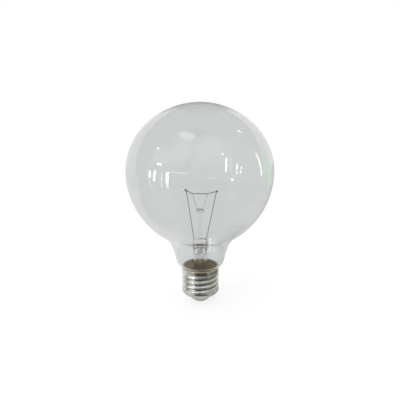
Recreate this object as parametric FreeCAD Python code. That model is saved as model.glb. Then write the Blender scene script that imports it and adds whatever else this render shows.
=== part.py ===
import FreeCAD, Part
import math
import os

# Clear globe lamp on an E27 screw cap. Millimetres and degrees, +Z from the cap's contact up to the
# crown, with the origin at the flat tip of the contact, on the lamp's axis.

# Contact and insulator of the cap
solder_height = 1.0
solder_radius = 3.0
solder_tip_radius = 1.6
solder_plug = 0.8
contact_thickness = 0.5
contact_radius = 4.9
contact_edge_round = 0.2
contact_margin = 0.6
eyelet_radius = 1.5
eyelet_wall = 0.3
eyelet_flange = 0.6
insulator_height = 4.7
insulator_thickness = 2.6
insulator_rim_turn = 20.0

# Screw shell, rolled from sheet
sheet = 0.3
lip_radius = 3.5
lip_turn = 75.0
thread_crest_radius = 13.15
thread_depth = 1.1
thread_pitch = 3.629
thread_turns = 4
collar_height = 2.4

# Cement between shell and glass
cement_thickness = 0.75
cement_rise = 0.5
cement_rim_drop = 0.1
cement_swell = 0.4
rim_clearance = 1.4
seat_gap = 0.05

# Glass envelope
envelope_wall = 0.6
globe_radius = 50.0
crown_flattening = 3.6
crown_side_inset = 6.2
lower_side_outset = 3.2
neck_length = 18.7
neck_radius = 16.8
neck_taper = 14.5
neck_fillet = 20.0
shoulder_radius = 5.2
throat_slope = 63.0
throat_fillet = 2.0
seal_depth = 11.0

# Stem, with the flare that closes the neck and the press that holds the wires
stem_wall = 0.8
stem_length = 31.3
seal_band = 2.0
flare_lean = 55.0
flare_rim_bend = 2.5
flare_throat_bend = 6.0
tube_radius = 4.6
press_length = 5.0
press_neck_length = 3.5
press_roof = 1.0
press_half_width = 5.3
press_half_thickness = 2.3
press_crown = 1.8
bore_dome = 1.2

# Exhaust tube, melted shut at its lower tip
exhaust_radius = 1.6
exhaust_wall = 0.5
exhaust_seat = 1.6
exhaust_drop = 4.0
exhaust_tip_length = 3.0
exhaust_tip_radius = 0.4
blow_hole_radius = 0.9
blow_hole_drop = 1.3

# Support rod with its button
rod_radius = 1.0
rod_length = 18.9
rod_foot = 0.5
button_radius = 2.9
button_height = 2.6
button_round = 1.1

# Filament, as the outside of its coil
filament_radius = 0.3
filament_tail = 0.6
filament_half_span = 5.3
filament_forward = 5.0
filament_rise = 33.3
filament_bend = 1.5
left_reach = 9.9
left_rise = 34.9
right_reach = 11.8
right_rise = 34.0

# Wires
lead_radius = 0.25
lead_press_offset = 4.5
lead_embedding = 2.6
clamp_gap = 0.05
seal_wire_radius = 0.2
hook_turn = 270.0
support_radius = 0.15
support_gap = 0.1
support_spread = 2.1
outer_lead_radius = 0.15
outer_lead_embedding = 1.2
outer_lead_bend = 1.2
outer_lead_straight = 2.4
centre_lead_turn = 0.5
centre_lead_rise = 2.0
centre_lead_inset = 0.5
side_lead_drop = 1.9
side_lead_azimuth = 90.0
side_lead_rim_gap = 0.1
side_lead_rim_bend = 0.5
side_lead_overhang = 0.4
side_solder_radius = 0.9
side_solder_drop = 0.3

V = FreeCAD.Vector
origin = V(0, 0, 0)
axis_z = V(0, 0, 1)

# Heights above the contact's tip, and the radii that fit into one another
contact_top = solder_height + contact_thickness
lip_height = contact_top + insulator_height
thread_base = lip_height + lip_radius * math.sin(math.radians(lip_turn))
collar_base = thread_base + thread_turns * thread_pitch
cap_height = collar_base + collar_height
seal_height = cap_height - seal_depth
press_top = seal_height + stem_length
press_waist = press_top - press_length
press_base = press_waist - press_neck_length
press_ceiling = press_base - press_roof
exhaust_tip = seal_height - exhaust_drop
globe_height = cap_height + neck_length + globe_radius
overall_length = globe_height + globe_radius - crown_flattening

thread_root_radius = thread_crest_radius - thread_depth
collar_bore = thread_crest_radius - sheet
thread_bore = thread_root_radius - sheet
seat_radius = thread_bore - cement_thickness
seat_bore = seat_radius - envelope_wall
throat_radius = collar_bore - rim_clearance
eyelet_bore = eyelet_radius - eyelet_wall
insulator_top = contact_top + insulator_thickness
exhaust_bore = exhaust_radius - exhaust_wall


def cosd(degrees):
    return math.cos(math.radians(degrees))


def sind(degrees):
    return math.sin(math.radians(degrees))


def on_circle(centre, radius, degrees):
    return (centre[0] + radius * cosd(degrees), centre[1] + radius * sind(degrees))


def in_plane(point):
    return V(point[0], 0, point[1])


def segment(start, end):
    return Part.LineSegment(start, end).toShape()


def outline(*items, inset=0.0):
    # Edges through points (radius, height) and arcs (centre, radius, from, to), going up. An arc that
    # turns left bulges outwards, so the inner side of a wall has the smaller radius there.
    edges = []
    here = None
    for item in items:
        stops = [in_plane(item)] if len(item) == 2 else arc_stops(*item, inset)
        if here and here.distanceToPoint(stops[0]) > Part.Precision.confusion():
            edges.append(segment(here, stops[0]))
        if len(stops) == 3:
            edges.append(Part.Arc(*stops).toShape())
        here = stops[-1]
    return edges


def arc_stops(centre, radius, first, last, inset):
    rho = radius - inset if last > first else radius + inset
    return [in_plane(on_circle(centre, rho, turn)) for turn in (first, (first + last) / 2, last)]


def turned(*items):
    return revolved(outline(*items, items[0]))


def revolved(edges):
    face = Part.Face(Part.Wire(Part.__sortEdges__(edges)))
    return face.revolve(origin, axis_z, 360)


def bend_at(before, corner, after, radius):
    # Start, middle and end of the arc that rounds a corner between two straight runs.
    back = (before - corner).normalize()
    ahead = (after - corner).normalize()
    half = back.getAngle(ahead) / 2
    reach = radius / math.tan(half)
    middle = (back + ahead).normalize() * (radius / math.sin(half) - radius)
    return corner + back * reach, corner + middle, corner + ahead * reach


def bent_path(points, radii):
    edges = []
    here = points[0]
    for before, corner, after, radius in zip(points, points[1:], points[2:], radii):
        start, middle, end = bend_at(before, corner, after, radius)
        edges += [segment(here, start), Part.Arc(start, middle, end).toShape()]
        here = end
    return edges + [segment(here, points[-1])]


def wire_along(edges, radius):
    first = edges[0]
    ring = Part.Circle(first.Vertexes[0].Point, first.tangentAt(first.FirstParameter), radius).toShape()
    return Part.Wire(edges).makePipeShell([Part.Wire(ring)], True, False)


class Hook:
    # A wire from start that ends in an open loop round another wire, which runs through the loop's
    # centre. The straight part is tangent to the loop.

    def __init__(self, start, centre, through, radius):
        reach = centre - start
        tilt = math.asin(radius / reach.Length)
        ahead = reach * (1 / reach.Length)
        aside = ahead.cross(through).normalize()
        self.start = start
        self.along = ahead * math.cos(tilt) + aside * math.sin(tilt)
        side = aside * math.cos(tilt) - ahead * math.sin(tilt)
        turns = (0, hook_turn / 2, hook_turn)
        stops = [centre + (side * cosd(a) + self.along * sind(a)) * radius for a in turns]
        self.tangent = stops[0]
        self.loop = Part.Arc(*stops).toShape()

    def at_height(self, height):
        return self.start + self.along * ((height - self.start.z) / self.along.z)

    def wire(self, height, radius):
        return wire_along([segment(self.at_height(height), self.tangent), self.loop], radius)


# Glass envelope

def envelope_arcs():
    side_radius = globe_radius - crown_side_inset
    crown_rise = globe_radius - crown_flattening
    crown_radius = (crown_side_inset ** 2 + crown_rise ** 2 - side_radius ** 2) / (
        2 * (crown_side_inset - crown_flattening))
    crown_centre = (0, overall_length - crown_radius)
    crown_turn = math.degrees(math.atan2(globe_height - crown_centre[1], crown_side_inset))

    # The throat's slope passes the cap's rim at the throat's radius.
    slope = math.tan(math.radians(90 - throat_slope))
    shoulder_r = neck_radius - shoulder_radius * cosd(neck_taper)
    shoulder_foot = shoulder_r + shoulder_radius * cosd(throat_slope)
    shoulder_z = cap_height + (shoulder_foot - throat_radius) * slope + shoulder_radius * sind(throat_slope)
    shoulder_centre = (shoulder_r, shoulder_z)
    throat_r = seat_radius + throat_fillet
    throat_top = throat_r - throat_fillet * cosd(throat_slope)
    throat_z = cap_height + (throat_top - throat_radius) * slope - throat_fillet * sind(throat_slope)

    # The fillet's centre runs up beside the neck until the fillet is tangent to the globe's lower half.
    lower_centre = (-lower_side_outset, globe_height)
    lower_radius = globe_radius + lower_side_outset
    neck_foot = on_circle(shoulder_centre, shoulder_radius, -neck_taper)
    start_r = neck_foot[0] + neck_fillet * cosd(neck_taper)
    start_z = neck_foot[1] - neck_fillet * sind(neck_taper)
    from_r = start_r - lower_centre[0]
    from_z = start_z - lower_centre[1]
    half_b = from_r * sind(neck_taper) + from_z * cosd(neck_taper)
    rest = from_r ** 2 + from_z ** 2 - (lower_radius + neck_fillet) ** 2
    run = -half_b - math.sqrt(half_b ** 2 - rest)
    fillet_centre = (start_r + run * sind(neck_taper), start_z + run * cosd(neck_taper))
    lower_turn = math.degrees(math.atan2(fillet_centre[1] - lower_centre[1], fillet_centre[0] - lower_centre[0]))

    return [
        ((throat_r, throat_z), throat_fillet, 180, 180 - throat_slope),
        (shoulder_centre, shoulder_radius, -throat_slope, -neck_taper),
        (fillet_centre, neck_fillet, 180 - neck_taper, 180 + lower_turn),
        (lower_centre, lower_radius, lower_turn, 0),
        ((crown_side_inset, globe_height), side_radius, 0, crown_turn),
        (crown_centre, crown_radius, crown_turn, 90),
    ]


def envelope_body():
    return turned((0, seal_height), (seat_radius, seal_height), *envelope_arcs())


def glass_envelope():
    arcs = envelope_arcs()
    outer = outline((seat_radius, seal_height), *arcs)
    inner = outline((seat_bore, seal_height), *arcs, inset=envelope_wall)
    foot = outline((seat_bore, seal_height), (seat_radius, seal_height))
    crown = outline((0, overall_length - envelope_wall), (0, overall_length))
    return revolved(outer + inner + foot + crown)


# Stem and the glass pieces on it

def stem_tube():
    rim_centre = (seat_bore - flare_rim_bend, seal_height + seal_band)
    lean_foot = on_circle(rim_centre, flare_rim_bend, flare_lean)
    throat_r = tube_radius + flare_throat_bend
    lean_run = (lean_foot[0] - throat_r + flare_throat_bend * cosd(flare_lean)) / sind(flare_lean)
    throat_z = lean_foot[1] + lean_run * cosd(flare_lean) + flare_throat_bend * sind(flare_lean)
    arcs = [
        (rim_centre, flare_rim_bend, 0, flare_lean),
        ((throat_r, throat_z), flare_throat_bend, 180 + flare_lean, 180),
    ]
    bore = tube_radius - stem_wall
    dome_radius = (bore ** 2 + bore_dome ** 2) / (2 * bore_dome)
    dome_turn = math.degrees(math.asin(bore / dome_radius))
    dome = ((0, press_ceiling - dome_radius), dome_radius, 90 - dome_turn, 90)
    outer = outline((seat_bore, seal_height), *arcs, (tube_radius, press_base), (0, press_base), (0, press_ceiling))
    inner = outline((seat_bore - stem_wall, seal_height), *arcs, (bore, press_ceiling - bore_dome), inset=stem_wall)
    foot = outline((seat_bore - stem_wall, seal_height), (seat_bore, seal_height))
    return revolved(outer + inner + foot + outline(dome))


def press():
    base = Part.Wire(Part.Circle(V(0, 0, press_base), axis_z, tube_radius).toShape())
    oval = Part.Ellipse(origin, press_half_width, press_half_thickness).toShape()
    waist = Part.Wire(oval.translated(V(0, 0, press_waist)))
    neck = Part.makeLoft([base, waist], True, False)
    bar = Part.Face(waist).extrude(V(0, 0, press_length - press_crown))
    # The crown is half an ellipsoid, highest at the middle and level with the bar's sides.
    shape = FreeCAD.Matrix()
    shape.scale(press_half_width, press_half_thickness, press_crown)
    crown = Part.makeSphere(1, origin, axis_z, 0, 90, 360).transformGeometry(shape)
    return neck.fuse([bar, crown.translated(V(0, 0, press_top - press_crown))])


def exhaust_passage():
    seat = Part.makeCylinder(exhaust_radius, bore_dome + exhaust_seat, V(0, 0, press_ceiling - bore_dome))
    blow_hole_height = press_waist - blow_hole_drop
    riser = Part.makeCylinder(exhaust_bore, blow_hole_height - press_ceiling, V(0, 0, press_ceiling))
    hole = Part.makeCylinder(blow_hole_radius, tube_radius, V(0, 0, blow_hole_height), V(0, -1, 0))
    return seat.fuse([riser, hole])


def stem_flare(wires):
    return stem_tube().fuse(press()).cut([exhaust_passage()] + wires)


def exhaust_tube():
    top = press_ceiling + exhaust_seat
    shoulder = exhaust_tip + exhaust_tip_length
    return turned((exhaust_tip_radius, exhaust_tip), (exhaust_radius, shoulder), (exhaust_radius, top),
                  (exhaust_bore, top), (exhaust_bore, shoulder), (0, shoulder - exhaust_wall), (0, exhaust_tip))


def support_rod(wires):
    # The rod's foot follows the press crown that it is melted onto.
    foot = press_top - rod_foot
    rod = Part.makeCylinder(rod_radius, rod_foot + rod_length + button_height / 2, V(0, 0, foot)).cut(press())
    button = Part.makeCylinder(button_radius, button_height, V(0, 0, press_top + rod_length))
    rims = [edge for edge in button.Edges if isinstance(edge.Curve, Part.Circle)]
    return rod.fuse(button.makeFillet(button_round, rims)).removeSplitter().cut(wires)


# Filament and wires of the mount, from left to right

def filament_route():
    left = V(-left_reach, 0, press_top + left_rise)
    right = V(right_reach, 0, press_top + right_rise)
    corners = [V(x, -filament_forward, press_top + filament_rise) for x in (-filament_half_span, filament_half_span)]
    return [left] + corners + [right]


def filament():
    left, left_corner, right_corner, right = filament_route()
    left_tail = left + (left - left_corner).normalize() * filament_tail
    right_tail = right + (right - right_corner).normalize() * filament_tail
    path = bent_path([left_tail, left_corner, right_corner, right_tail], [filament_bend] * 2)
    return wire_along(path, filament_radius)


def lead_hook(side, end, through):
    foot = V(side * lead_press_offset, 0, press_top)
    return Hook(foot, end, through, filament_radius + clamp_gap + lead_radius)


def support_hook(side, before, corner, after):
    foot = V(side * support_spread, 0, press_top + rod_length + button_height / 2)
    centre = bend_at(before, corner, after, filament_bend)[1]
    through = (after - corner).normalize() + (corner - before).normalize()
    return Hook(foot, centre, through, filament_radius + support_gap + support_radius)


def seal_wire(hook):
    ends = [hook.at_height(z) for z in (press_ceiling + outer_lead_embedding, press_top - lead_embedding)]
    return wire_along([segment(*ends)], seal_wire_radius)


def outer_lead_start(hook):
    # The lead leaves the press in line with its seal wire, then hangs straight down the stem.
    joint = hook.at_height(press_ceiling + outer_lead_embedding)
    turn = hook.at_height(press_ceiling - outer_lead_straight)
    return joint, turn


def outer_lead_centre(hook):
    joint, turn = outer_lead_start(hook)
    low = V(turn.x, 0, exhaust_tip - centre_lead_turn)
    on_axis = V(0, 0, insulator_top + centre_lead_rise)
    path = bent_path([joint, turn, low, on_axis, V(0, 0, centre_lead_inset)], [outer_lead_bend] * 3)
    return wire_along(path, outer_lead_radius)


def outer_lead_side(hook):
    joint, turn = outer_lead_start(hook)
    aside = V(cosd(side_lead_azimuth), sind(side_lead_azimuth), 0)
    low = seal_height - side_lead_drop
    over_rim = cap_height + side_lead_rim_gap + outer_lead_radius
    in_cement = seat_radius + cement_thickness / 2
    past_rim = collar_bore - 2 * outer_lead_radius
    rise = past_rim - in_cement
    points = [
        joint,
        turn,
        V(turn.x, 0, low),
        aside * in_cement + axis_z * low,
        aside * in_cement + axis_z * (over_rim - 2 * rise),
        aside * past_rim + axis_z * over_rim,
        aside * (thread_crest_radius + side_lead_overhang) + axis_z * over_rim,
    ]
    bends = [outer_lead_bend] * 4 + [side_lead_rim_bend]
    return wire_along(bent_path(points, bends), outer_lead_radius)


# Cap

lip_centre = (thread_crest_radius - lip_radius, thread_base)


def shell_arcs():
    rho = (thread_pitch ** 2 / 4 + thread_depth ** 2) / (4 * thread_depth)
    swing = math.degrees(math.asin(thread_pitch / 4 / rho))
    arcs = [(lip_centre, lip_radius, -lip_turn, 0)]
    for turn in range(thread_turns):
        crest = thread_base + turn * thread_pitch
        arcs.append(((thread_crest_radius - rho, crest), rho, 0 if turn == 0 else -swing, swing))
        arcs.append(((thread_root_radius + rho, crest + thread_pitch / 2), rho, 180 + swing, 180 - swing))
    arcs.append(((thread_crest_radius - rho, collar_base), rho, -swing, 0))
    return arcs


def screw_shell():
    arcs = shell_arcs()
    outer = outline(*arcs, (thread_crest_radius, cap_height), (collar_bore, cap_height))
    inner = outline(*arcs, (collar_bore, cap_height), inset=sheet)
    edge = [on_circle(lip_centre, radius, -lip_turn) for radius in (lip_radius, lip_radius - sheet)]
    return revolved(outer + inner + outline(*edge))


def basing_cement(lead):
    foot = seal_height + cement_rise
    fit = thread_bore - seat_gap
    ring = turned((0, foot), (fit, foot), (fit, collar_base), (collar_bore - seat_gap, collar_base),
                  (collar_bore - seat_gap, cap_height - cement_rim_drop), (throat_radius, cap_height + cement_swell),
                  (0, cap_height + cement_swell))
    return ring.cut([envelope_body(), lead])


def base_insulator():
    seat = (lip_centre, lip_radius - sheet - seat_gap, -lip_turn, -insulator_rim_turn)
    mouth = on_circle(*seat[:3])
    rim = on_circle(lip_centre, seat[1], -insulator_rim_turn)
    hole = eyelet_radius + seat_gap
    floor = eyelet_radius + eyelet_flange + contact_margin
    return turned((hole, contact_top), (contact_radius + contact_margin, contact_top), (mouth[0], lip_height), seat,
                  (rim[0] - insulator_thickness, rim[1]), (floor, insulator_top), (hole, insulator_top))


def contact_plate():
    flange = eyelet_radius + eyelet_flange
    plate = turned((eyelet_bore, solder_height), (contact_radius, solder_height), (contact_radius, contact_top),
                   (eyelet_radius, contact_top), (eyelet_radius, insulator_top), (flange, insulator_top),
                   (flange, insulator_top + eyelet_wall), (eyelet_bore, insulator_top + eyelet_wall))
    rim = [edge for edge in plate.Edges
           if edge.BoundBox.XMax > contact_radius - contact_edge_round and edge.BoundBox.ZMax < contact_top]
    rim = [edge for edge in rim if isinstance(edge.Curve, Part.Circle)]
    return plate.makeFillet(contact_edge_round, rim)


def centre_solder(lead):
    spread = solder_radius - solder_tip_radius
    bulge = (spread ** 2 + solder_height ** 2) / (2 * solder_height)
    side = ((solder_tip_radius, bulge), bulge, -90, math.degrees(math.asin((solder_height - bulge) / bulge)))
    plug = solder_height + solder_plug
    return turned((0, 0), side, (eyelet_bore, solder_height), (eyelet_bore, plug), (0, plug)).cut(lead)


def side_solder(shell, lead):
    aside = V(cosd(side_lead_azimuth), sind(side_lead_azimuth), 0)
    centre = aside * thread_crest_radius + axis_z * (cap_height - side_solder_drop)
    bead = Part.makeSphere(side_solder_radius, centre, aside)
    core = Part.makeCylinder(collar_bore, overall_length)
    return bead.cut(core).cut(shell).cut(lead)


def build():
    left, left_corner, right_corner, right = filament_route()
    left_hook = lead_hook(-1, left, left_corner - left)
    right_hook = lead_hook(1, right, right - right_corner)
    lead_start = press_top - lead_embedding
    sealed = {
        "lead_in_left": left_hook.wire(lead_start, lead_radius),
        "lead_in_right": right_hook.wire(lead_start, lead_radius),
        "seal_wire_left": seal_wire(left_hook),
        "seal_wire_right": seal_wire(right_hook),
        "outer_lead_centre": outer_lead_centre(left_hook),
        "outer_lead_side": outer_lead_side(right_hook),
    }
    button_middle = press_top + rod_length + button_height / 2
    supports = {
        "support_wire_left": support_hook(-1, left, left_corner, right_corner).wire(button_middle, support_radius),
        "support_wire_right": support_hook(1, left_corner, right_corner, right).wire(button_middle, support_radius),
    }
    shell = screw_shell()
    return {
        "glass_envelope": glass_envelope(),
        "stem_flare": stem_flare(list(sealed.values())),
        "exhaust_tube": exhaust_tube(),
        "support_rod": support_rod(list(supports.values())),
        "filament": filament(),
        **supports,
        **sealed,
        "screw_shell": shell,
        "basing_cement": basing_cement(sealed["outer_lead_side"]),
        "base_insulator": base_insulator(),
        "contact_plate": contact_plate(),
        "centre_solder": centre_solder(sealed["outer_lead_centre"]),
        "side_solder": side_solder(shell, sealed["outer_lead_side"]),
    }


os.makedirs("parts", exist_ok=True)
for name, shape in build().items():
    shape.exportStep(f"parts/{name}.step")
    print(f"{name:20s} {shape.ShapeType:9s} solids {len(shape.Solids)} valid {shape.isValid()} "
          f"volume {shape.Volume:9.2f}")
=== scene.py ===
import math

import bpy
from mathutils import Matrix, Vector


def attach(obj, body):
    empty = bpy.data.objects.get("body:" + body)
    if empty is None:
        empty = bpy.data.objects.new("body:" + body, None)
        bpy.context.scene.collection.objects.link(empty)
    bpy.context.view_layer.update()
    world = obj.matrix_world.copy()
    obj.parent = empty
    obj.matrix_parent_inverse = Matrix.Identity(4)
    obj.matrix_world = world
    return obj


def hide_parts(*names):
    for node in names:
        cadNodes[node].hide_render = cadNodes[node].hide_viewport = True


# Clear globe bulb on a screw cap. Shapes are in mm as in the CAD model, camera and stage in metres.

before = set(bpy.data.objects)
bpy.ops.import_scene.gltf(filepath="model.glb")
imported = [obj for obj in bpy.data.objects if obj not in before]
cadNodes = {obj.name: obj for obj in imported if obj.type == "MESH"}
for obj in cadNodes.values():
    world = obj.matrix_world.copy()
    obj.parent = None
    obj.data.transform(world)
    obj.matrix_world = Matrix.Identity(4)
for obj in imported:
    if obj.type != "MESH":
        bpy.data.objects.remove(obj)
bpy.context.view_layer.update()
scene = bpy.context.scene
scene.view_settings.view_transform = "Standard"
mm = 0.001
print("frame loaded with", len(cadNodes), "CAD pieces")


# Small helpers for meshes

arcSteps = {"least": 6, "widest": 4}  # fewest steps on an arc, and the most degrees in one step


def addObject(name, data):
    thing = bpy.data.objects.new(name, data)
    scene.collection.objects.link(thing)
    return thing


def newPiece(name, points, faces):
    mesh = bpy.data.meshes.new(name)
    mesh.from_pydata([tuple(c * mm for c in p) for p in points], [], faces)
    mesh.shade_smooth()
    return addObject(name, mesh)


def onCircle(centre, radius, degrees):
    turn = math.radians(degrees)
    return (centre[0] + radius * math.cos(turn), centre[1] + radius * math.sin(turn))


def arcPoints(centre, radius, first, last, step):
    span = abs(last - first)
    byLength = math.ceil(math.radians(span) * radius / step)
    byTurn = math.ceil(span / arcSteps["widest"])
    count = max(arcSteps["least"], byLength, byTurn)
    return [onCircle(centre, radius, first + (last - first) * i / count) for i in range(count + 1)]


def spun(radius, height, turn):
    return (radius * math.cos(turn), radius * math.sin(turn), height)


def smooth(t):
    t = min(max(t, 0.0), 1.0)
    return t * t * (3 - 2 * t)


# Small helpers for materials

def newFinish(name):
    finish = bpy.data.materials.new(name)
    finish.use_nodes = True
    tree = finish.node_tree
    return finish, tree, tree.nodes["Principled BSDF"]


def setInputs(node, values):
    # A value is a number or a colour for the socket, or another node's output to link to it
    for socket, value in values.items():
        if isinstance(value, bpy.types.NodeSocket):
            node.id_data.links.new(value, node.inputs[socket])
        else:
            node.inputs[socket].default_value = value


def addNode(tree, kind, values=None, operation=None):
    node = tree.nodes.new("ShaderNode" + kind)
    if operation:
        node.operation = operation
    setInputs(node, values or {})
    return node


def maths(tree, operation, *values):
    return addNode(tree, "Math", dict(enumerate(values)), operation).outputs[0]


def cloud(tree, scale, detail, stretch=(1, 1, 1)):
    coords = addNode(tree, "TexCoord")
    mapping = addNode(tree, "Mapping", {"Vector": coords.outputs["Object"], "Scale": stretch})
    place = mapping.outputs["Vector"]
    noise = addNode(tree, "TexNoise", {"Vector": place, "Scale": scale, "Detail": detail})
    return noise.outputs["Fac"]


def colourBetween(tree, factor, dark, light, start=0.3, end=0.7):
    ramp = addNode(tree, "ValToRGB", {"Fac": factor})
    first, last = ramp.color_ramp.elements
    first.position = start
    first.color = (*dark, 1)
    last.position = end
    last.color = (*light, 1)
    return ramp.outputs["Color"]


def numberBetween(tree, factor, low, high, start=0.3, end=0.7):
    span = addNode(tree, "MapRange", {"Value": factor})
    setInputs(span, {"From Min": start, "From Max": end, "To Min": low, "To Max": high})
    return span.outputs["Result"]


def relief(tree, shader, height, depth):
    bump = addNode(tree, "Bump", {"Height": height, "Distance": depth * mm, "Strength": 1.0})
    setInputs(shader, {"Normal": bump.outputs["Normal"]})


def dress(finish, *names):
    for name in names:
        for slot in cadNodes[name].material_slots:
            slot.material = finish


# Camera at the photograph's angle

view = {
    "aim": (0, 0, 0.0925),
    "distance": 0.300,
    "elevation": 12.0,
    "lens": 39.57,
    "roll": 0.33,
    "shiftX": 0.0017,
    "shiftY": -0.0633,
    "clipStart": 0.01,
    "bounces": 32,  # glass inside glass needs long light paths
}


def placeCamera():
    camera = addObject("camera", bpy.data.cameras.new("camera"))
    rise = math.radians(view["elevation"])
    aim = Vector(view["aim"])
    camera.location = aim + Vector((0, -math.cos(rise), math.sin(rise))) * view["distance"]
    camera.rotation_euler = (math.radians(90 - view["elevation"]), math.radians(view["roll"]), 0)
    camera.data.lens = view["lens"]
    camera.data.shift_x = view["shiftX"]
    camera.data.shift_y = view["shiftY"]
    camera.data.clip_start = view["clipStart"]
    scene.camera = camera
    scene.cycles.max_bounces = view["bounces"]
    scene.cycles.transmission_bounces = view["bounces"]


placeCamera()
print("camera placed")


# Glass envelope, turned from its outline

envelope = {
    "seatRadius": 11.65,  # sunk into the cement, whose inner face so stays dull and brown
    "sealHeight": 15.497,
    "wall": 0.6,
    "arcs": [  # centre (radius, height), arc radius, from and to in degrees, going up
        ((13.65, 25.373), 2.0, 180, 117),
        ((11.766, 32.494), 5.2, -63, -14.5),
        ((38.442, 34.995), 20.0, 165.5, 124.672),
        ((-3.2, 95.197), 53.2, -55.328, 0),
        ((6.2, 95.197), 43.8, 0, 44.498),
        ((0.0, 89.104), 52.492, 44.498, 90),
    ],
    "step": 1.3,
    "joint": 0.01,  # arcs that end this close share one point
    "segments": 224,
}


def wallPoints(inset):
    points = [(envelope["seatRadius"] - inset, envelope["sealHeight"])]
    for centre, radius, first, last in envelope["arcs"]:
        offset = -inset if last > first else inset  # an arc that turns left bulges outwards
        arc = arcPoints(centre, radius + offset, first, last, envelope["step"])
        joined = math.dist(points[-1], arc[0]) < envelope["joint"]
        points += arc[1:] if joined else arc
    return points


def makeEnvelope():
    outline = wallPoints(0)[::-1] + wallPoints(envelope["wall"])
    count = envelope["segments"]
    points = [(0, 0, outline[0][1])]
    for radius, height in outline[1:-1]:
        points += [spun(radius, height, 2 * math.pi * i / count) for i in range(count)]
    points.append((0, 0, outline[-1][1]))
    faces = []
    last = len(points) - 1
    for i in range(count):
        j = (i + 1) % count
        faces.append((0, 1 + i, 1 + j))
        faces.append((last - count + i, last, last - count + j))
        for row in range(len(outline) - 3):
            near = 1 + row * count
            far = near + count
            faces.append((near + i, far + i, far + j, near + j))
    return newPiece("globeGlass", points, faces)


globeGlass = makeEnvelope()
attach(globeGlass, "root")
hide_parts("glass_envelope")
print("envelope turned:", len(globeGlass.data.polygons), "faces")


# Screw shell, rolled from sheet with a right-hand thread

shell = {
    "crest": 13.15,
    "depth": 1.1,
    "pitch": 3.629,
    "turns": 4,
    "threadBase": 9.581,
    "top": 26.497,
    "lipRadius": 3.5,
    "lipTurn": 75,
    "lipStep": 0.3,
    "sheet": 0.3,
    "runOut": 0.6,  # share of a pitch over which the thread fades at either end
    "startTurn": 0.68,
    "segments": 192,
    "rowsPerTurn": 26,
    "collarRows": 4,
    "edgeSteps": 6,  # round the sheet's edges, from one side to the other
}


def threadDip(turns):
    # How far the wall lies under the crest, on arcs that meet halfway down the flank
    pitch = shell["pitch"]
    depth = shell["depth"]
    knuckle = (pitch ** 2 / 4 + depth ** 2) / (4 * depth)
    away = abs((turns + 0.5) % 1 - 0.5) * pitch
    if away < pitch / 4:
        return knuckle - math.sqrt(knuckle ** 2 - away ** 2)
    return depth - knuckle + math.sqrt(knuckle ** 2 - (pitch / 2 - away) ** 2)


def outerWall(turn):
    # From the lip up to the rim, as radius and height
    base = shell["threadBase"]
    height = shell["turns"] * shell["pitch"]
    fade = shell["runOut"] * shell["pitch"]
    lip = (shell["crest"] - shell["lipRadius"], base)
    wall = arcPoints(lip, shell["lipRadius"], -shell["lipTurn"], 0, shell["lipStep"])
    rows = shell["turns"] * shell["rowsPerTurn"]
    for i in range(1, rows):
        z = height * i / rows
        share = smooth(z / fade) * smooth((height - z) / fade)
        dip = threadDip(z / shell["pitch"] - turn / (2 * math.pi) - shell["startTurn"])
        wall.append((shell["crest"] - share * dip, base + z))
    rows = shell["collarRows"]
    collar = shell["top"] - shell["sheet"] / 2 - base - height
    return wall + [(shell["crest"], base + height + collar * i / rows) for i in range(rows + 1)]


def innerWall(outer):
    # One sheet's thickness inside the outer wall
    wall = []
    for i, (radius, z) in enumerate(outer):
        before = outer[max(i - 1, 0)]
        after = outer[min(i + 1, len(outer) - 1)]
        run = Vector((after[0] - before[0], after[1] - before[1])).normalized()
        wall.append((radius - run.y * shell["sheet"], z + run.x * shell["sheet"]))
    return wall


def roundedEdge(outside, inside, sign):
    # Half a circle from one side of the sheet to the other
    a = Vector(outside)
    b = Vector(inside)
    out = (a - b) / 2
    along = Vector((-out.y, out.x)) * sign
    turns = [math.pi * k / shell["edgeSteps"] for k in range(1, shell["edgeSteps"])]
    return [tuple((a + b) / 2 + out * math.cos(t) + along * math.sin(t)) for t in turns]


def shellColumn(turn):
    # Up the outer wall, over the rim, down the inner wall and round the edge of the lip
    outer = outerWall(turn)
    inner = innerWall(outer)
    rim = roundedEdge(outer[-1], inner[-1], 1)
    lip = roundedEdge(outer[0], inner[0], -1)
    return outer + rim + inner[::-1] + lip[::-1]


def markGrooves(piece, stops):
    # 0 on the crests and the plain ends, 1 at the bottom of the grooves: the mask for the painted shade in
    # the grooves
    groove = piece.data.attributes.new("groove", "FLOAT", "POINT")
    for mark, (radius, z) in zip(groove.data, stops):
        threaded = z > shell["threadBase"]
        mark.value = smooth((shell["crest"] - radius) / shell["depth"]) if threaded else 0.0


def makeShell():
    count = shell["segments"]
    turns = [2 * math.pi * i / count for i in range(count)]
    columns = [shellColumn(turn) for turn in turns]
    rows = len(columns[0])
    points = [spun(r, z, turn) for turn, column in zip(turns, columns) for r, z in column]
    faces = []
    for i in range(count):
        here = i * rows
        there = (i + 1) % count * rows
        for row in range(rows):
            up = (row + 1) % rows
            faces.append((here + row, there + row, there + up, here + up))
    piece = newPiece("screwShell", points, faces)
    markGrooves(piece, [stop for column in columns for stop in column])
    return piece


screwShell = makeShell()
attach(screwShell, "root")
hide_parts("screw_shell")
print("screw shell rolled:", len(screwShell.data.polygons), "faces")


# Filament, a wire wound into a coil along its route

coil = {
    "route": [(-9.9, 0, 81.697), (-5.3, -5, 80.097), (5.3, -5, 80.097), (11.8, 0, 80.797)],
    "tail": 0.6,
    "bend": 1.5,
    "bendSteps": 12,
    "outside": 0.3,
    "wire": 0.055,
    "pitch": 0.2,
    "pointsPerTurn": 14,
}


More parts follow.
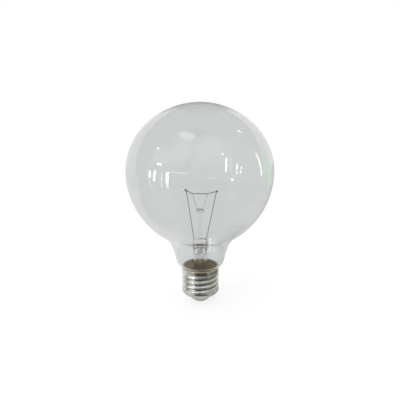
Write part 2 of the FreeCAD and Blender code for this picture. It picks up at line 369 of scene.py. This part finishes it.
def coilRoute():
    # Straight runs with an arc at each corner
    route = [Vector(p) for p in coil["route"]]
    route[0] += (route[0] - route[1]).normalized() * coil["tail"]
    route[-1] += (route[-1] - route[-2]).normalized() * coil["tail"]
    steps = coil["bendSteps"]
    stops = [route[0]]
    for before, corner, after in zip(route, route[1:], route[2:]):
        back = (before - corner).normalized()
        ahead = (after - corner).normalized()
        half = back.angle(ahead) / 2
        reach = coil["bend"] / math.tan(half)
        middle = corner + (back + ahead).normalized() * coil["bend"] / math.sin(half)
        start = corner + back * reach - middle
        end = corner + ahead * reach - middle
        stops += [middle + start.slerp(end, i / steps) for i in range(steps + 1)]
    return stops + [route[-1]]


def coilPoints():
    stops = coilRoute()
    step = coil["pitch"] / coil["pointsPerTurn"]
    radius = coil["outside"] - coil["wire"]
    points = []
    turn = 0.0
    side = Vector((0, 0, 1))
    for a, b in zip(stops, stops[1:]):
        along = (b - a).normalized()
        side = (side - along * side.dot(along)).normalized()
        across = along.cross(side)
        count = max(1, round((b - a).length / step))
        for i in range(count):
            out = side * math.cos(turn) + across * math.sin(turn)
            points.append(a.lerp(b, i / count) + out * radius)
            turn += 2 * math.pi * (b - a).length / count / coil["pitch"]
    return points


def makeCoil():
    points = coilPoints()
    curve = bpy.data.curves.new("coilLine", "CURVE")
    curve.dimensions = "3D"
    curve.bevel_depth = coil["wire"] * mm
    curve.bevel_resolution = 1
    curve.use_fill_caps = True
    spline = curve.splines.new("POLY")
    spline.points.add(len(points) - 1)
    for stop, point in zip(spline.points, points):
        stop.co = (*(point * mm), 1)
    line = addObject("coilLine", curve)
    piece = addObject("filamentCoil", bpy.data.meshes.new_from_object(line))
    bpy.data.objects.remove(line)
    piece.data.shade_smooth()
    return piece


filamentCoil = makeCoil()
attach(filamentCoil, "root")
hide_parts("filament")
print("filament wound:", len(filamentCoil.data.polygons), "faces")


# Glass, with long cords in the blown wall and a thin smear on it

globeGlassLook = {
    "face": (0.80, 0.81, 0.805),
    "edge": (0.66, 0.69, 0.68),
    "edgeStart": 0.8,
    "edgeEnd": 1.0,
    "ior": 1.5,
    "roughness": (0.0, 0.012),
    "scale": 40.0,
    "stretch": (1, 1, 1.6),
    "wave": 0.02,  # mm of unevenness
    "absorb": (0.45, 0.55, 0.52),
    "density": 70.0,
}
stemGlassLook = {
    "face": (0.96, 0.965, 0.955),
    "edge": (0.52, 0.53, 0.525),
    "edgeStart": 0.4,
    "edgeEnd": 0.9,
    "ior": 1.55,
    "roughness": (0.03, 0.10),
    "scale": 220.0,
    "stretch": (1, 1, 0.35),
    "wave": 0.03,
    "absorb": (0.45, 0.5, 0.45),
    "density": 8.0,
}
# The rod's edges are darker still: painted shade along its sides
rodGlassLook = {**stemGlassLook, "edge": (0.26, 0.28, 0.27), "edgeStart": 0.3, "edgeEnd": 0.8}
smearLook = {"finer": 3.0, "detail": 5.0, "start": 0.5, "end": 0.8}
cordDetail = 3.0


def glassFinish(name, look):
    finish, tree, shader = newFinish(name)
    cords = cloud(tree, look["scale"], cordDetail, look["stretch"])
    smear = cloud(tree, look["scale"] * smearLook["finer"], smearLook["detail"])
    # Darker tint towards the edges: partly the longer path through the glass, partly painted shade for the
    # darker surroundings that show there
    facing = addNode(tree, "LayerWeight", {"Blend": 0.5}).outputs["Facing"]
    tint = colourBetween(tree, facing, look["face"], look["edge"], look["edgeStart"], look["edgeEnd"])
    roughness = numberBetween(tree, smear, *look["roughness"], smearLook["start"], smearLook["end"])
    setInputs(shader, {"Transmission Weight": 1.0, "IOR": look["ior"]})
    setInputs(shader, {"Base Color": tint, "Roughness": roughness})
    relief(tree, shader, cords, look["wave"])
    absorb = addNode(tree, "VolumeAbsorption")
    setInputs(absorb, {"Color": (*look["absorb"], 1), "Density": look["density"]})
    setInputs(tree.nodes["Material Output"], {"Volume": absorb.outputs["Volume"]})
    return finish


globeGlass.data.materials.append(glassFinish("clearGlobeGlass", globeGlassLook))
dress(glassFinish("stemGlass", stemGlassLook), "stem_flare", "exhaust_tube")
dress(glassFinish("rodGlass", rodGlassLook), "support_rod")
print("glass finished")


# Metals, each with a fine grain and coarser tarnish

metalLooks = {
    "plated sheet": {
        "dark": (0.60, 0.595, 0.56), "light": (0.75, 0.745, 0.70), "roughness": (0.17, 0.28),
        "scale": 700.0, "stretch": (0.35, 0.35, 4.0), "relief": 0.0012,
    },
    "tungsten wire": {
        "dark": (0.10, 0.10, 0.10), "light": (0.20, 0.20, 0.20), "roughness": (0.35, 0.55),
        "scale": 3000.0, "stretch": (1, 1, 1), "relief": 0.004,
    },
    "molybdenum wire": {
        "dark": (0.46, 0.46, 0.46), "light": (0.62, 0.62, 0.62), "roughness": (0.25, 0.45),
        "scale": 2500.0, "stretch": (1, 1, 0.2), "relief": 0.004,
    },
    "nickel wire": {
        "dark": (0.17, 0.15, 0.12), "light": (0.30, 0.27, 0.23), "roughness": (0.25, 0.45),
        "scale": 1500.0, "stretch": (1, 1, 0.15), "relief": 0.005,
    },
    "copper clad wire": {
        "dark": (0.30, 0.10, 0.06), "light": (0.52, 0.22, 0.14), "roughness": (0.35, 0.55),
        "scale": 1800.0, "stretch": (1, 1, 0.3), "relief": 0.004,
    },
    "copper wire": {
        "dark": (0.52, 0.24, 0.14), "light": (0.74, 0.40, 0.26), "roughness": (0.25, 0.45),
        "scale": 1800.0, "stretch": (1, 1, 0.3), "relief": 0.004,
    },
    "contact brass": {
        "dark": (0.52, 0.40, 0.20), "light": (0.76, 0.62, 0.36), "roughness": (0.2, 0.42),
        "scale": 900.0, "stretch": (1, 1, 1), "relief": 0.01,
    },
    "solder": {
        "dark": (0.42, 0.43, 0.44), "light": (0.66, 0.67, 0.68), "roughness": (0.28, 0.55),
        "scale": 1100.0, "stretch": (1, 1, 1), "relief": 0.05,
    },
}
grainDetail = 5.0
tarnishLook = {"coarser": 0.25, "detail": 4.0, "start": 0.25, "end": 0.6}
# Painted shade in the thread grooves: its dark colour, the groove depth where it starts and its largest
# share
grooveShadeLook = {"colour": (0.20, 0.195, 0.15), "start": 0.72, "most": 0.6}


def metalFinish(name):
    look = metalLooks[name]
    finish, tree, shader = newFinish(name)
    grain = cloud(tree, look["scale"], grainDetail, look["stretch"])
    tarnish = cloud(tree, look["scale"] * tarnishLook["coarser"], tarnishLook["detail"])
    start, end = tarnishLook["start"], tarnishLook["end"]
    colour = colourBetween(tree, tarnish, look["dark"], look["light"], start, end)
    roughness = numberBetween(tree, grain, *look["roughness"])
    setInputs(shader, {"Metallic": 1.0, "Base Color": colour, "Roughness": roughness})
    relief(tree, shader, grain, look["relief"])
    return finish


# Darker base colour towards the bottom of the thread grooves: painted shade between the threads
def shadeGrooves(finish):
    tree = finish.node_tree
    shader = tree.nodes["Principled BSDF"]
    unshaded = shader.inputs["Base Color"].links[0].from_socket
    groove = addNode(tree, "Attribute")
    groove.attribute_name = "groove"
    depth = groove.outputs["Fac"]
    share = numberBetween(tree, depth, 0.0, grooveShadeLook["most"], grooveShadeLook["start"], 1.0)
    blend = addNode(tree, "Mix")
    blend.data_type = "RGBA"
    setInputs(blend, {"Factor": share, 6: unshaded, 7: (*grooveShadeLook["colour"], 1)})  # 6 and 7 take colours
    setInputs(shader, {"Base Color": blend.outputs[2]})
    return finish


screwShell.data.materials.append(shadeGrooves(metalFinish("plated sheet")))
filamentCoil.data.materials.append(metalFinish("tungsten wire"))
dress(metalFinish("molybdenum wire"), "support_wire_left", "support_wire_right")
dress(metalFinish("nickel wire"), "lead_in_left", "lead_in_right")
dress(metalFinish("copper clad wire"), "seal_wire_left", "seal_wire_right")
dress(metalFinish("copper wire"), "outer_lead_centre", "outer_lead_side")
dress(metalFinish("contact brass"), "contact_plate")
dress(metalFinish("solder"), "centre_solder", "side_solder")
print("metals finished")


# Cement and insulator

cementLook = {
    "dark": (0.80, 0.50, 0.16), "light": (1.0, 0.80, 0.36), "roughness": (0.75, 0.95),
    "scale": 900.0, "relief": 0.12, "coat": 0.0,
}
insulatorLook = {
    "dark": (0.40, 0.40, 0.38), "light": (0.54, 0.54, 0.52), "roughness": (0.12, 0.3),
    "scale": 350.0, "relief": 0.03, "coat": 0.4,
}
mineralGrain = {"detail": 8.0, "patchCoarser": 0.3, "patchDetail": 5.0}


def mineralFinish(name, look):
    finish, tree, shader = newFinish(name)
    grain = cloud(tree, look["scale"], mineralGrain["detail"])
    patch = cloud(tree, look["scale"] * mineralGrain["patchCoarser"], mineralGrain["patchDetail"])
    colour = colourBetween(tree, patch, look["dark"], look["light"])
    roughness = numberBetween(tree, grain, *look["roughness"])
    setInputs(shader, {"Coat Weight": look["coat"], "Base Color": colour, "Roughness": roughness})
    relief(tree, shader, grain, look["relief"])
    return finish


dress(mineralFinish("basing cement", cementLook), "basing_cement")
dress(mineralFinish("insulator glass", insulatorLook), "base_insulator")
print("cement and insulator finished")


# Stage: white surround, pale floor, lamps, and a painted room that only reflections see

surround = {"ambient": 0.5}
floorLook = {
    "fadeStart": 0.16,
    "fadeEnd": 0.36,
    "albedo": 0.78,
    "lift": 0.62,
    "height": -0.00005,
    "sides": 96,
}


def seenFactor(tree):
    # 1 for camera, glossy and transmission rays, 0 for the light that falls on things
    path = addNode(tree, "LightPath")
    seen = path.outputs["Is Camera Ray"]
    for other in ("Is Glossy Ray", "Is Transmission Ray"):
        seen = maths(tree, "MAXIMUM", seen, path.outputs[other])
    return seen


def makeSurround():
    world = bpy.data.worlds.new("whiteSurround")
    world.use_nodes = True
    tree = world.node_tree
    strength = numberBetween(tree, seenFactor(tree), surround["ambient"], 1.0, 0.0, 1.0)
    setInputs(tree.nodes["Background"], {"Color": (1, 1, 1, 1), "Strength": strength})
    scene.world = world


def stageFinish(name):
    finish = bpy.data.materials.new(name)
    finish.use_nodes = True
    tree = finish.node_tree
    tree.nodes.remove(tree.nodes["Principled BSDF"])
    return finish, tree, tree.nodes["Material Output"]


def paleFloorFinish():
    finish, tree, output = stageFinish("paleFloor")
    paper = addNode(tree, "BsdfDiffuse", {"Color": (*[floorLook["albedo"]] * 3, 1)})
    lift = numberBetween(tree, seenFactor(tree), 0.0, floorLook["lift"], 0.0, 1.0)
    glow = addNode(tree, "Emission", {"Strength": lift})
    lit = addNode(tree, "AddShader", {0: paper.outputs[0], 1: glow.outputs[0]})
    place = addNode(tree, "TexCoord").outputs["Object"]
    away = addNode(tree, "VectorMath", {0: place}, "LENGTH").outputs["Value"]
    rim = numberBetween(tree, away, 0.0, 1.0, floorLook["fadeStart"], floorLook["fadeEnd"])
    grit = addNode(tree, "TexWhiteNoise", {"Vector": place}).outputs["Value"]
    faded = maths(tree, "LESS_THAN", grit, rim)  # the fade is a fine grit, which leaves no line
    below = addNode(tree, "NewGeometry").outputs["Backfacing"]
    gone = maths(tree, "MAXIMUM", faded, below)  # clear beyond the rim and from below
    clear = addNode(tree, "BsdfTransparent")
    blend = addNode(tree, "MixShader", {0: gone, 1: lit.outputs[0], 2: clear.outputs[0]})
    setInputs(output, {"Surface": blend.outputs[0]})
    return finish


def makeFloor():
    sides, radius = floorLook["sides"], floorLook["fadeEnd"]
    bpy.ops.mesh.primitive_circle_add(vertices=sides, radius=radius, fill_type="NGON")
    floor = bpy.context.object
    floor.name = "floor"
    floor.location.z = floorLook["height"]
    floor.data.materials.append(paleFloorFinish())


makeSurround()
makeFloor()

# Azimuth from the camera, positive to its right, and elevation, both seen from the globe's middle
stageCentre = (0, 0, 0.095)
lamps = {
    "windowPaneNear": {"turn": -47.2, "rise": -2.5, "width": 0.055, "height": 0.32, "radiance": 11},
    "windowCore": {"turn": -47.2, "rise": -1, "width": 0.03, "height": 0.12, "radiance": 45},
    "windowPaneThin": {"turn": -56, "rise": -5, "width": 0.014, "height": 0.26, "radiance": 7},
    "windowPaneMiddle": {"turn": -68, "rise": 0, "width": 0.045, "height": 0.2, "radiance": 11},
    "windowPaneFar": {"turn": -76.5, "rise": 1, "width": 0.04, "height": 0.12, "radiance": 11},
    "windowTop": {"turn": -63, "rise": 17, "width": 0.1, "height": 0.035, "radiance": 18},
    "windowHigh": {"turn": -80, "rise": 35, "width": 0.03, "height": 0.04, "radiance": 10},
    "stripRight": {"turn": 101, "rise": 6, "width": 0.03, "height": 0.36, "radiance": 5},
    "stripRightHigh": {"turn": 113, "rise": 46, "width": 0.02, "height": 0.07, "radiance": 8},
    "lampFront": {"turn": 40, "rise": 37, "width": 0.02, "height": 0.05, "radiance": 9},
}
lampDistance = 0.8
globeSurfaces = 4  # that a ray crosses on its way straight through the globe's two walls
halfCount = 0.5  # tells one whole number from the next


def stageDirection(turn, rise):
    turn = math.radians(turn)
    rise = math.radians(rise)
    return Vector((math.sin(turn) * math.cos(rise), -math.cos(turn) * math.cos(rise), math.sin(rise)))


def hideBehindGlobe(light):
    # Off for a ray that only went straight through the globe, as for the camera's own rays
    light.use_nodes = True
    tree = light.node_tree
    path = addNode(tree, "LightPath")
    crossed = maths(tree, "COMPARE", path.outputs["Transmission Depth"], globeSurfaces, halfCount)
    unmirrored = maths(tree, "LESS_THAN", path.outputs["Glossy Depth"], halfCount)
    straight = maths(tree, "MULTIPLY", crossed, unmirrored)
    shown = numberBetween(tree, straight, 1.0, 0.0, 0.0, 1.0)
    setInputs(tree.nodes["Emission"], {"Strength": shown})


def makeLamp(name, lamp):
    light = bpy.data.lights.new(name, "AREA")
    hideBehindGlobe(light)
    light.shape = "RECTANGLE"
    light.size = lamp["width"]
    light.size_y = lamp["height"]
    light.energy = lamp["radiance"] * math.pi * lamp["width"] * lamp["height"]
    piece = addObject(name, light)
    towards = stageDirection(lamp["turn"], lamp["rise"])
    piece.location = Vector(stageCentre) + towards * lampDistance
    piece.rotation_euler = (-towards).to_track_quat("-Z", "Y").to_euler()
    piece.visible_camera = False


for lampName, lampValues in lamps.items():
    makeLamp(lampName, lampValues)

# Soft patches laid over one another: direction and half spans in degrees, the share that fades, colour
room = {
    "plain": (0.42, 0.42, 0.42),
    "dome": [
        {"turn": 0, "rise": 48, "across": 80, "up": 34, "fade": 0.4, "colour": (0.84, 0.85, 0.86)},
        {"turn": 20, "rise": 48, "across": 36, "up": 24, "fade": 0.7, "colour": (1.4, 1.42, 1.45)},
        {"turn": -20, "rise": 24, "across": 13, "up": 13, "fade": 0.8, "colour": (0.1, 0.1, 0.12)},
        {"turn": -62, "rise": 27, "across": 27, "up": 16, "fade": 0.6, "colour": (1.3, 1.32, 1.3)},
        {"turn": 75, "rise": 16, "across": 36, "up": 36, "fade": 0.5, "colour": (0.60, 0.61, 0.56)},
        {"turn": -34, "rise": 45, "across": 18, "up": 26, "fade": 0.4, "colour": (1.35, 1.42, 1.54)},
        {"turn": -46, "rise": 69, "across": 38, "up": 8, "fade": 0.5, "colour": (2.9, 3.1, 3.4)},
        {"turn": -28, "rise": 10, "across": 15, "up": 1.6, "fade": 0.6, "colour": (2.6, 3.0, 3.4)},
        {"turn": 16, "rise": 2.5, "across": 11, "up": 1.6, "fade": 0.6, "colour": (2.0, 2.3, 2.6)},
        {"turn": 180, "rise": -20, "across": 74, "up": 55, "fade": 0.04, "colour": (1.0, 1.0, 1.0)},
        {"turn": 180, "rise": 62, "across": 22, "up": 66, "fade": 0.35, "colour": (0.2, 0.2, 0.2)},
    ],
    "front": {"turn": 4, "rise": -17, "across": 44, "up": 26, "fade": 0.35, "colour": (0.06, 0.06, 0.06)},
    "capHeight": 0.018,  # the front patch is laid on the floor as seen from here
    "streak": {"turn": 123, "rise": -3, "across": 10, "up": 24, "fade": 0.7, "colour": (0.36, 1.15, 0.46)},
    "paperLeft": {  # front edges of the paper on the floor: mm at the middle, slope
        "colour": (0.88, 0.88, 0.87), "edges": [(-50, 0.6), (10, 0.12)],
    },
    # The right half is darker: painted shade on the side away from the window lamps
    "paperRight": {"colour": (0.58, 0.58, 0.57), "edges": [(-50, 0.2)]},
    "paperBlur": 12,
    "floor": [  # place and half spans in mm
        # Painted shadow on the floor: a grey disc round the cap, a dark patch to its right where the bulb's
        # shadow falls, and a lighter disc just under the cap
        {"at": (0, 0), "span": (38, 38), "fade": 0.5, "colour": (0.5, 0.5, 0.48)},
        {"at": (42, -5), "span": (48, 46), "fade": 0.4, "colour": (0.16, 0.16, 0.12)},
        {"at": (0, 0), "span": (22, 22), "fade": 0.1, "colour": (0.62, 0.62, 0.61)},
    ],
    "patchPower": 3,  # 2 makes a patch an ellipse, more brings it nearer to a rectangle
    "radius": 0.85,
    "floorHeight": 0.0004,
    "firstRing": 0.004,
    "floorRings": 60,
    "domeRings": 144,
    "topRise": 89.5,
    "segments": 240,
}


def laidOver(colour, patch, across, up):
    power = room["patchPower"]
    edge = (across ** power + up ** power) ** (1 / power)
    return colour.lerp(Vector(patch["colour"]), 1 - smooth((edge - 1 + patch["fade"]) / patch["fade"]))


def withPatch(colour, patch, turn, rise):
    across = abs((turn - patch["turn"] + 180) % 360 - 180) / patch["across"]
    return laidOver(colour, patch, across, abs(rise - patch["rise"]) / patch["up"])


def domeColour(turn, rise):
    colour = Vector(room["plain"])
    for patch in [room["front"]] + room["dome"] + [room["streak"]]:
        colour = withPatch(colour, patch, turn, rise)
    return colour


def floorColour(x, y, turn, rise):
    paper = room["paperLeft"] if x < 0 else room["paperRight"]
    front = min(start + slope * abs(x) for start, slope in paper["edges"])
    onPaper = smooth((y - front) / room["paperBlur"] + 0.5)
    colour = Vector(room["plain"]).lerp(Vector(paper["colour"]), onPaper)
    for patch in room["floor"]:
        across = abs(x - patch["at"][0]) / patch["span"][0]
        colour = laidOver(colour, patch, across, abs(y - patch["at"][1]) / patch["span"][1])
    colour = withPatch(colour, room["front"], turn, rise)
    fromGlobe = -math.degrees(math.atan2(stageCentre[2], math.hypot(x, y) * mm))
    return withPatch(colour, room["streak"], turn, fromGlobe)


def roomRows():
    # Rings from the middle of the floor outwards, then up over the dome: radius, height, rise, on the floor
    rows = []
    first, radius = room["firstRing"], room["radius"]
    for j in range(room["floorRings"]):
        away = first * (radius / first) ** (j / room["floorRings"])
        rise = -math.degrees(math.atan2(room["capHeight"], away))
        rows.append((away, room["floorHeight"], rise, True))
    low = -math.degrees(math.asin(stageCentre[2] / radius))
    for j in range(room["domeRings"] + 1):
        rise = low + (room["topRise"] - low) * j / room["domeRings"]
        ring = stageDirection(0, rise) * radius
        rows.append((-ring.y, stageCentre[2] + ring.z, rise, False))
    return rows


def paintedFinish():
    finish, tree, output = stageFinish("paintedRoom")
    painted = addNode(tree, "Attribute")
    painted.attribute_name = "paint"
    glow = addNode(tree, "Emission", {"Color": painted.outputs["Color"]})
    setInputs(output, {"Surface": glow.outputs[0]})
    return finish


def makeRoom():
    count = room["segments"]
    points = []
    colours = []
    faces = []
    for away, height, rise, onFloor in roomRows():
        for i in range(count):
            turn = 360 * i / count
            side = stageDirection(turn, 0) * away / mm
            points.append((side.x, side.y, height / mm))
            colour = floorColour(side.x, side.y, turn, rise) if onFloor else domeColour(turn, rise)
            colours += [*colour, 1]
    for row in range(len(points) // count - 1):
        for i in range(count):
            a = row * count + i
            b = row * count + (i + 1) % count
            faces.append((a, b, b + count, a + count))
    piece = newPiece("paintedRoom", points, faces)
    paint = piece.data.color_attributes.new("paint", "FLOAT_COLOR", "POINT")
    paint.data.foreach_set("color", colours)
    piece.data.materials.append(paintedFinish())
    piece.visible_camera = False
    piece.visible_diffuse = False
    piece.visible_transmission = False
    piece.visible_shadow = False


makeRoom()
print("stage set")
